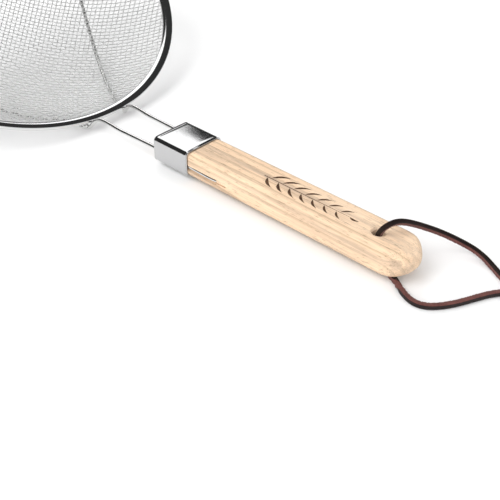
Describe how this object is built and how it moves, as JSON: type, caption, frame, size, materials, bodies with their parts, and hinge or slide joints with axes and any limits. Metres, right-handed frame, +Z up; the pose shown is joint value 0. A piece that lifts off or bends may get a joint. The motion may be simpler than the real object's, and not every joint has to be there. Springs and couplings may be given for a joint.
{
  "type": "tea strainer",
  "caption": "Long-handled wire mesh strainer with a rolled steel rim, bent wire frame, ferrule, wooden grip and leather hanging lace.",
  "frame": {"origin": "under the middle of the box round the strainer without its lace, on the table it lies on", "axes": "+X along the handle from the bowl to the hanging hole, +Z up from the table, +Y to the left when looking along the handle"},
  "size_m": [0.3945, 0.1852, 0.0963],
  "materials": {
    "polished_steel": "polished stainless steel",
    "mesh_steel": "woven stainless wire",
    "wood": "sanded open-pored ash",
    "lace_leather": "smooth dark brown face, raw reddish cut edges"
  },
  "bodies": {
    "root": {"mesh_bowl": "mesh_steel", "rim_hem": "polished_steel", "rim_core_wire": "polished_steel", "frame_wire_right": "polished_steel", "frame_wire_left": "polished_steel", "ferrule": "polished_steel", "handle_grip": "wood", "lace_strand_upper": "lace_leather", "lace_strand_lower": "lace_leather", "lace_knot": "lace_leather"}
  },
  "joints": []
}
